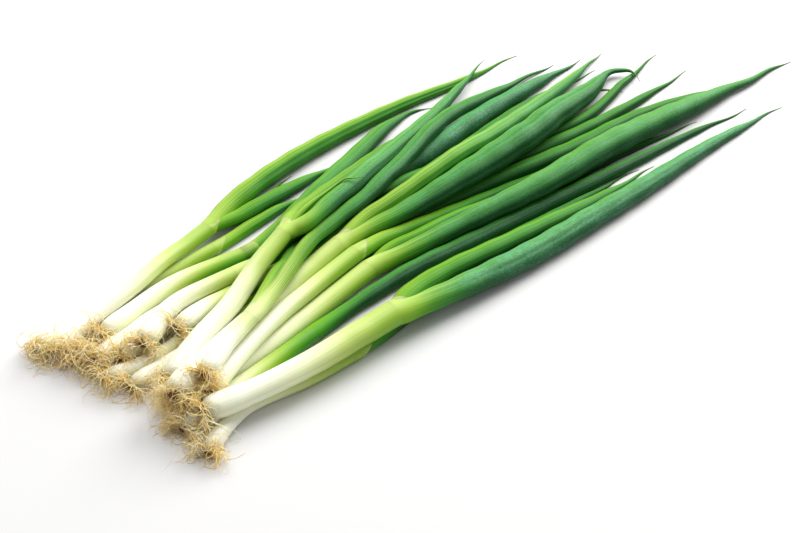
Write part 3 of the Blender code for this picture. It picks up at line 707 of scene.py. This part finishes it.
def sleeve_shell(strand, stalk, share, rng):
    """The thin pale end of a sheath, round the leaf that comes out of it."""
    line, radius = fine_strand(strand)
    s = arc_length(line)
    reach = SLEEVE + SLEEVE_SLANT
    even = np.linspace(0, reach, SLEEVE_ROWS)
    line = np.column_stack([np.interp(even, s, column) for column in line.T])
    radius = np.interp(even, s, widened(s, radius, stalk, share)) + SLEEVE_FIT
    radius += (stalk["radius"][-1] + PLUMP - radius[0])*(1 - ease(even/SLEEVE))
    heading = heading_from(stalk, line, even)
    high = rng.uniform(*SLEEVE_HIGH)
    cut = (SLEEVE + SLEEVE_SLANT*np.cos(side_angles(SIDES) - high))/reach
    outer = cut_short(even_rings(line, heading, radius, SIDES), cut)
    inner = cut_short(even_rings(line, heading, radius - SLEEVE_WALL, SIDES), cut)
    rings = np.concatenate([outer, inner[::-1][:INNER_ROWS]])
    to_rim = (1 - np.linspace(0, 1, SLEEVE_ROWS))[:, None]*cut*reach
    to_rim = np.concatenate([to_rim, to_rim[::-1][:INNER_ROWS]])
    neck = np.full(len(rings), STALK_GREENS[strand["plant"]][1])
    # painted shade on the side that the light leaves, as on the stalk
    green = neck[:, None] + painted_lee_shade(strand["plant"], neck)
    pale = RIM_PALE*ease(1 - to_rim/SLEEVE_RIM)
    return shell(rings, np.linspace(0, reach, len(rings)), green=green*(1 - pale), wax=0, dry=0, veined=1)


def nearest_strand(p, starts, ends, radii):
    """For each point, the nearest place on the strands, the radius there, and the gap to its surface."""
    along = ends - starts
    t = ((p[:, None] - starts)*along).sum(2)/(along**2).sum(1)
    t = np.clip(t, 0, 1)[..., None]
    place = starts + t*along
    outside = np.linalg.norm(p[:, None] - place, axis=2) - radii
    nearest = outside.argmin(1)
    index = np.arange(len(p))
    return place[index, nearest], radii[nearest], outside[index, nearest]


def kept_clear(p, around, top):
    """Points moved out of the strands around them, and kept between the surface and the pile's top."""
    place, thick, outside = nearest_strand(p, *around)
    inside = outside < HAIR_RADIUS[1]
    p[inside] = (place + units(p - place)*(thick[:, None] + HAIR_RADIUS[1]))[inside]
    p[:, 2] = np.clip(p[:, 2], (FLOOR_CUT + HAIR_RADIUS[0])/SQUEEZE, top)
    return p


def hair_starts(end, outward, width, middle, size, rng):
    """Where a tuft's hairs leave the plate, and the headings that they fan out with."""
    count = round(HAIRS*size)
    side = unit(np.cross((0, 0, 1), outward))
    up = np.cross(outward, side)
    turn = rng.uniform(0, 2*np.pi, count)
    radial = np.cos(turn)[:, None]*side + np.sin(turn)[:, None]*up
    reach = np.sqrt(rng.uniform(*HAIR_REACH, count))[:, None]
    lean = np.radians(HAIR_LEAN[0] + HAIR_LEAN[1]*reach*rng.uniform(*LEAN_SPREAD, (count, 1)))
    heading = np.cos(lean)*outward + np.sin(lean)*radial
    along = HAIR_PLACE - HAIR_PLACE_FALL*reach
    p = end + outward*PLATE_LENGTH*along + radial*reach*HAIR_RING*width
    strewn = rng.uniform(0, 1, (count, 1))*(size > SPREAD_SIZE)
    return p + 2*(middle - end)*strewn, heading


def hair_routes(stalk, around, top, rng):
    """Curly roots: they fan out of the plate, curl round each other and lie on what is below them."""
    end = stalk["line"][0]
    outward = unit(end - stalk["line"][1])
    middle = end + outward*TUFT_OUT*TUFT + np.array(TUFT_LEANS.get(stalk["plant"], (0, 0, 0)))
    size = WIDE_TUFTS.get(stalk["plant"], 1)
    p, heading = hair_starts(end, outward, stalk["radius"][0], middle, size, rng)
    count = len(p)
    step = rng.uniform(*HAIR_STEP, (count, 1))*size**SIZE_POWER
    bend = rng.uniform(*HAIR_BEND, (count, 1))*size**SIZE_POWER
    stray = np.arange(count) < STRAYS
    bend[stray] = STRAY_BEND
    step[stray] = HAIR_STEP[1]*rng.uniform(*STRAY_STEP, (STRAYS, 1))
    pull = np.where(stray, STRAY_PULL, HAIR_PULL)[:, None]
    droop = np.where(stray, STRAY_DROOP, HAIR_DROOP)
    axis = rng.normal(size=(count, 3))
    rows = [p]
    for _ in range(HAIR_POINTS - 1):
        axis = units(axis + HAIR_CURL*rng.normal(size=(count, 3)))
        heading = heading + np.cross(axis, heading)*bend*step
        away = middle - p
        far = np.linalg.norm(away, axis=1)[:, None]
        heading += pull*away/far*np.clip(far/(TUFT*np.sqrt(size)) - TUFT_FREE, 0, PULL_MOST)
        heading[:, 2] -= droop + TOP_TURN*ease((p[:, 2] - top)/TOP_BAND + 1)
        heading = units(heading)
        p = kept_clear(p + heading*step, around, top)
        rows.append(p)
    return np.stack(rows, axis=1)


def hair_shell(route, rng):
    """One root hair, brown where it leaves the plate."""
    heading = even_heading(route)
    heading[:, 2] = np.clip(heading[:, 2], -HAIR_STEEPEST, HAIR_STEEPEST)
    s = arc_length(route)
    radius = rng.uniform(*HAIR_RADIUS)*(1 - HAIR_TAPER*s/s[-1])
    tone = rng.uniform(0, 1)
    brown = np.exp(-s/BROWN_LENGTH)*rng.uniform(*HAIR_BROWN)
    rings = even_rings(route, units(heading), radius, HAIR_SIDES)
    return shell(rings, s, tone=tone, brown=brown[:, None])


def hair_shells(stalk, strands, rng):
    """A plant's tuft of root hairs."""
    starts, ends, radii = strand_segments(strands)
    near = np.linalg.norm((starts + ends)/2 - stalk["line"][0], axis=1) < TUFT_NEAR
    around = starts[near], ends[near], radii[near]
    top = max((strand["line"][:, 2] + strand["radius"]).max() for strand in strands)
    return [hair_shell(route, rng) for route in hair_routes(stalk, around, top, rng)]


def plate_shell(stalk, rng):
    """The hard brown disc under a stalk, lumpy where the roots leave it."""
    line, width = stalk["line"], stalk["radius"][0]
    outward = unit(line[0] - line[1])
    u = np.linspace(0, 1, PLATE_ROWS)
    profile = np.sqrt(np.clip(1 - u**PLATE_ROUND, PLATE_LEAST, 1))
    centres = line[0] + (u[:, None]*PLATE_LENGTH*PLATE_OVER - PLATE_SUNK)*outward
    lumps = 1 + PLATE_LUMPS*rng.normal(size=(PLATE_ROWS, SIDES))
    lumps = (lumps + np.roll(lumps, 1, axis=1) + np.roll(lumps, -1, axis=1))/3
    spread = PLATE_RADIUS*width*profile[:, None]*lumps
    rings = rings_round(centres, np.repeat(outward[None], PLATE_ROWS, axis=0), spread)
    return shell(rings, u*PLATE_LENGTH, tone=PLATE_TONE, brown=ease(PLATE_BROWN + u*2)[:, None])


def linear(red, green, blue):
    """A colour given from 0 to 255, as the shader's linear values."""
    share = np.array([red, green, blue])/255
    return (*np.where(share <= 0.04045, share/12.92, ((share + 0.055)/1.055)**2.4).tolist(), 1)


def grey(value):
    return (value, value, value, 1)


class Finish:
    """A material and short ways to add its nodes."""

    def __init__(self, name, roughness):
        self.material = bpy.data.materials.new(name)
        self.material.use_nodes = True
        self.tree = self.material.node_tree
        self.shader = self.tree.nodes["Principled BSDF"]
        self.shader.inputs["Roughness"].default_value = roughness

    def node(self, kind, **settings):
        node = self.tree.nodes.new(kind)
        for name, value in settings.items():
            setattr(node, name, value)
        return node

    def link(self, source, target):
        self.tree.links.new(source, target)

    def feed(self, socket, source):
        """Gives a node's input a plain number or colour, or another node's output."""
        if isinstance(source, (tuple, float, int)):
            socket.default_value = source
        else:
            self.link(source, socket)

    def value(self, name):
        """A value that the mesh carries at each point."""
        return self.node("ShaderNodeAttribute", attribute_name=name).outputs["Fac"]

    def noise(self, grains, detail, roughness=0.5):
        """Noise on the strand's own skin."""
        skin = self.node("ShaderNodeAttribute", attribute_name="skin")
        mapping = self.node("ShaderNodeMapping")
        mapping.inputs["Scale"].default_value = grains
        self.link(skin.outputs["Vector"], mapping.inputs["Vector"])
        noise = self.node("ShaderNodeTexNoise")
        noise.inputs["Scale"].default_value = 1
        noise.inputs["Detail"].default_value = detail
        noise.inputs["Roughness"].default_value = roughness
        self.link(mapping.outputs["Vector"], noise.inputs["Vector"])
        return noise.outputs["Fac"]

    def ramp(self, factor, *stops):
        """Colours along a factor, as (place, colour) pairs."""
        ramp = self.node("ShaderNodeValToRGB")
        points = ramp.color_ramp.elements
        while len(points) < len(stops):
            points.new(0.5)
        for point, (place, colour) in zip(points, stops):
            point.position = place
            point.color = colour
        self.link(factor, ramp.inputs["Fac"])
        return ramp.outputs["Color"]

    def mix(self, factor, first, second, blend="MIX"):
        mix = self.node("ShaderNodeMix", data_type="RGBA", blend_type=blend)
        self.feed(mix.inputs[0], factor)
        self.feed(mix.inputs[6], first)
        self.feed(mix.inputs[7], second)
        return mix.outputs[2]

    def math(self, operation, first, second):
        math = self.node("ShaderNodeMath", operation=operation, use_clamp=True)
        self.feed(math.inputs[0], first)
        self.feed(math.inputs[1], second)
        return math.outputs[0]

    def glow(self, amount, radius, depth):
        """Light that goes into the skin and comes out near by."""
        self.shader.inputs["Subsurface Weight"].default_value = amount
        self.shader.inputs["Subsurface Radius"].default_value = radius
        self.shader.inputs["Subsurface Scale"].default_value = depth

    def bump(self, height, strength, distance):
        bump = self.node("ShaderNodeBump")
        bump.inputs["Strength"].default_value = strength
        bump.inputs["Distance"].default_value = distance
        self.link(height, bump.inputs["Height"])
        self.link(bump.outputs["Normal"], self.shader.inputs["Normal"])


# Colours
GREENS = [
    (0.00, linear(250, 249, 240)),
    (0.18, linear(240, 243, 204)),
    (0.36, linear(198, 214, 126)),
    (0.52, linear(152, 188, 64)),
    (0.66, linear(104, 164, 30)),
    (0.80, linear(66, 142, 32)),
    (1.00, linear(18, 76, 24)),
]
ROOT_TONES = [
    (0.0, linear(242, 200, 122)),
    (0.5, linear(255, 230, 164)),
    (1.0, linear(255, 250, 214)),
]
WHITE = linear(255, 255, 255)
# colour of the waxy bloom, and of the sheen painted with it on the lit side
WAX_AND_SHEEN_BLUE = linear(114, 182, 150)
DRY_TAN = linear(118, 116, 78)
STALK_STREAK = linear(240, 244, 226)
LEAF_STREAK = linear(178, 200, 152)
ROOT_BROWN = linear(112, 70, 34)
ROOT_SHADE = linear(232, 220, 200)
PLANT_GLOW = (0.8, 1.0, 0.3)    # how far red, green and blue light go in it, over its depth
ROOT_GLOW = (1.0, 0.7, 0.3)

# Grains to a metre, across, round and along a strand
VEINS = (1500, 1500, 9)
SPECKLES = (1700, 1700, 560)
PATCHES = (260, 260, 45)
MOTTLE = (1500, 1500, 300)


def plant_finish(name, roughness, sheen, glow, depth, streak, bump):
    """The skin of a stalk or leaf: its green, which carries painted shade and light, veins along it, and a
    speckled waxy bloom that is partly a painted sheen on the lit side.
    """
    finish = Finish(name, roughness)
    green = finish.ramp(finish.value("green"), *GREENS)
    veins = finish.noise(VEINS, 3)
    streaks = finish.ramp(veins, (0.34, streak), (0.64, WHITE))
    colour = finish.mix(finish.value("veined"), green, finish.mix(1.0, green, streaks, "MULTIPLY"))
    speckles = finish.noise(SPECKLES, 4, 0.7)
    patches = finish.noise(PATCHES, 2)
    bloom = finish.ramp(speckles, (0.38, grey(0.3)), (0.64, WHITE))
    # the waxy bloom's mask: real speckled wax, heaviest on the lit side as a painted sheen
    waxy = finish.math("MULTIPLY", finish.value("wax"), bloom)
    waxy = finish.math("MULTIPLY", waxy, finish.ramp(patches, (0.35, grey(0.45)), (0.65, WHITE)))
    colour = finish.mix(waxy, colour, WAX_AND_SHEEN_BLUE)
    colour = finish.mix(finish.value("dry"), colour, DRY_TAN)
    finish.link(colour, finish.shader.inputs["Base Color"])
    finish.shader.inputs["Specular IOR Level"].default_value = sheen
    finish.glow(glow, PLANT_GLOW, depth)
    finish.bump(finish.math("ADD", veins, finish.math("MULTIPLY", speckles, 0.5)), bump, 0.12*MM)
    return finish.material


def stalk_finish():
    return plant_finish("stalk_skin", roughness=0.34, sheen=0.3, glow=0.45, depth=4*MM,
                        streak=STALK_STREAK, bump=0.12)


def leaf_finish():
    return plant_finish("leaf_skin", roughness=0.5, sheen=0.14, glow=0.22, depth=1.5*MM,
                        streak=LEAF_STREAK, bump=0.45)


def root_finish():
    finish = Finish("root_hair", 0.7)
    tone = finish.ramp(finish.value("tone"), *ROOT_TONES)
    colour = finish.mix(finish.value("brown"), tone, ROOT_BROWN)
    mottle = finish.noise(MOTTLE, 3)
    shade = finish.ramp(mottle, (0.3, ROOT_SHADE), (0.7, WHITE))
    colour = finish.mix(1.0, colour, shade, "MULTIPLY")
    finish.link(colour, finish.shader.inputs["Base Color"])
    finish.glow(0.5, ROOT_GLOW, 1*MM)
    finish.bump(mottle, 0.4, 0.1*MM)
    return finish.material


SHARP = np.radians(70)     # edges that turn further than this aren't smoothed over


def new_object(name, data):
    obj = bpy.data.objects.new(name, data)
    bpy.context.scene.collection.objects.link(obj)
    return obj


def piece(name, shells, finish, node, shift):
    """One object from several tubes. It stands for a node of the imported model."""
    points, faces, first = [], [], 0
    for part in shells:
        points.append(part["points"])
        faces += [[first + corner for corner in face] for face in part["faces"]]
        first += len(part["points"])
    points = laid_down(np.concatenate(points)) + shift
    mesh = bpy.data.meshes.new(name)
    mesh.from_pydata(points.tolist(), [], faces)
    skin = mesh.attributes.new("skin", "FLOAT_VECTOR", "POINT")
    skin.data.foreach_set("vector", np.concatenate([part["skin"] for part in shells]).ravel())
    for key in shells[0]["values"]:
        attribute = mesh.attributes.new(key, "FLOAT", "POINT")
        attribute.data.foreach_set("value", np.concatenate([part["values"][key] for part in shells]))
    mesh.shade_smooth()
    mesh.set_sharp_from_angle(angle=SHARP)
    mesh.materials.append(finish)
    obj = new_object(name, mesh)
    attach(obj, "root")
    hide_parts(node)


def frame_shift(strands):
    """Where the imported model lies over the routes: the mean of what its stalks' boxes say."""
    moves = []
    for strand in strands:
        if strand["kind"] == "stalk":
            low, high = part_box("stalk_" + strand["plant"])
            heading = even_heading(strand["line"])
            points = zip(strand["line"], heading, strand["radius"])
            rings = np.concatenate([ring(p, h, r, SOLID_SIDES) for p, h, r in points])
            middle = (rings.min(0) + rings.max(0))/2
            moves.append(((np.array(low) + np.array(high))/2 - middle)[:2])
    return np.array([*np.mean(moves, axis=0), 0])


def build_plant(strands, plant, finishes, shift, rng):
    """A plant's three pieces: its stalk with the sheaths' ends, its leaves, and its roots."""
    stalk = next(s for s in strands if s["plant"] == plant and s["kind"] == "stalk")
    leaves = [s for s in strands if s["plant"] == plant and s["kind"] == "leaf"]
    looks = LEAF_GREENS.get(plant, [OTHER_LEAF]*len(leaves))
    widths = [width for width, _, _ in PLANTS[plant]["leaves"]]
    main_leaf = None if plant in SHEATHED else int(np.argmax(widths))
    stalk_parts = [stalk_shell(stalk, rng)]
    leaf_parts = []
    for number, (leaf, look) in enumerate(zip(leaves, looks)):
        goes_on = number == main_leaf
        share = 1 if goes_on else SHEATHED_WIDTH*(plant in SHEATHED)
        leaf_parts.append(leaf_shell(leaf, stalk, number, look, goes_on, share, rng))
        if not goes_on and widths[number] > SLEEVE_LEAF:
            stalk_parts.append(sleeve_shell(leaf, stalk, share, rng))
    piece("onion_stalk_" + plant, stalk_parts, finishes["stalk"], "stalk_" + plant, shift)
    piece("onion_leaves_" + plant, leaf_parts, finishes["leaf"], "leaves_" + plant, shift)
    root_parts = [plate_shell(stalk, rng)] + hair_shells(stalk, strands, rng)
    piece("onion_roots_" + plant, root_parts, finishes["root"], "roots_" + plant, shift)


# Camera and light, in metres and watts
CAMERA_AZIMUTH = np.radians(-39)
CAMERA_ELEVATION = np.radians(42)
CAMERA_DISTANCE = 0.84
CAMERA_TARGET = (-0.068, -0.046, 0.017)    # over the routes' own origin
CAMERA_LENS = 80
FLOOR_HALF = 4
FLOOR_GREY = 0.70
FLOOR_SHEEN = 0.1
SKY_STRENGTH = 0.38


def place_camera(shift):
    a, e = CAMERA_AZIMUTH, CAMERA_ELEVATION
    back = np.array([np.sin(a)*np.cos(e), -np.cos(a)*np.cos(e), np.sin(e)])
    camera = new_object("camera", bpy.data.cameras.new("camera"))
    camera.data.lens = CAMERA_LENS
    camera.data.clip_end = 20
    camera.location = np.array(CAMERA_TARGET) + shift + CAMERA_DISTANCE*back
    camera.rotation_euler = (np.pi/2 - e, 0, a)
    bpy.context.scene.camera = camera


def area_light(name, place, size, power, colour):
    """A round soft light that faces the bunch."""
    light = new_object(name, bpy.data.lights.new(name, "AREA"))
    light.data.shape = "DISK"
    light.data.size = size
    light.data.energy = power
    light.data.color = colour
    light.location = place
    x, y, z = place
    light.rotation_euler = (-np.arctan2(np.hypot(x, y), z), 0, np.arctan2(-y, -x) + np.pi/2)


def white_floor():
    a = FLOOR_HALF
    mesh = bpy.data.meshes.new("floor")
    mesh.from_pydata([(-a, -a, 0), (a, -a, 0), (a, a, 0), (-a, a, 0)], [], [(0, 1, 2, 3)])
    finish = Finish("floor", 0.9)
    finish.shader.inputs["Base Color"].default_value = grey(FLOOR_GREY)
    finish.shader.inputs["Specular IOR Level"].default_value = FLOOR_SHEEN
    mesh.materials.append(finish.material)
    floor = new_object("floor", mesh)


def studio():
    """A white floor and soft light, most of it from beyond the leaf tips and from behind."""
    white_floor()
    world = bpy.data.worlds.new("studio")
    world.use_nodes = True
    background = world.node_tree.nodes["Background"]
    background.inputs["Color"].default_value = grey(1)
    background.inputs["Strength"].default_value = SKY_STRENGTH
    bpy.context.scene.world = world
    area_light("key", (1.3, 0.25, 0.95), 1.2, 34, (1, 0.99, 0.97))
    area_light("back", (0.1, 0.8, 1.5), 1.8, 24, (1, 1, 1))
    bpy.context.scene.view_settings.view_transform = "Standard"


strands = strands_of(PLANTS)
press_apart(strands, SETTLE_ROUNDS)
shift = frame_shift(strands)
finishes = {"stalk": stalk_finish(), "leaf": leaf_finish(), "root": root_finish()}
for number, plant in enumerate(PLANTS):
    build_plant(strands, plant, finishes, shift, np.random.default_rng([SEED, number]))
place_camera(shift)
studio()

bpy.context.view_layer.update()
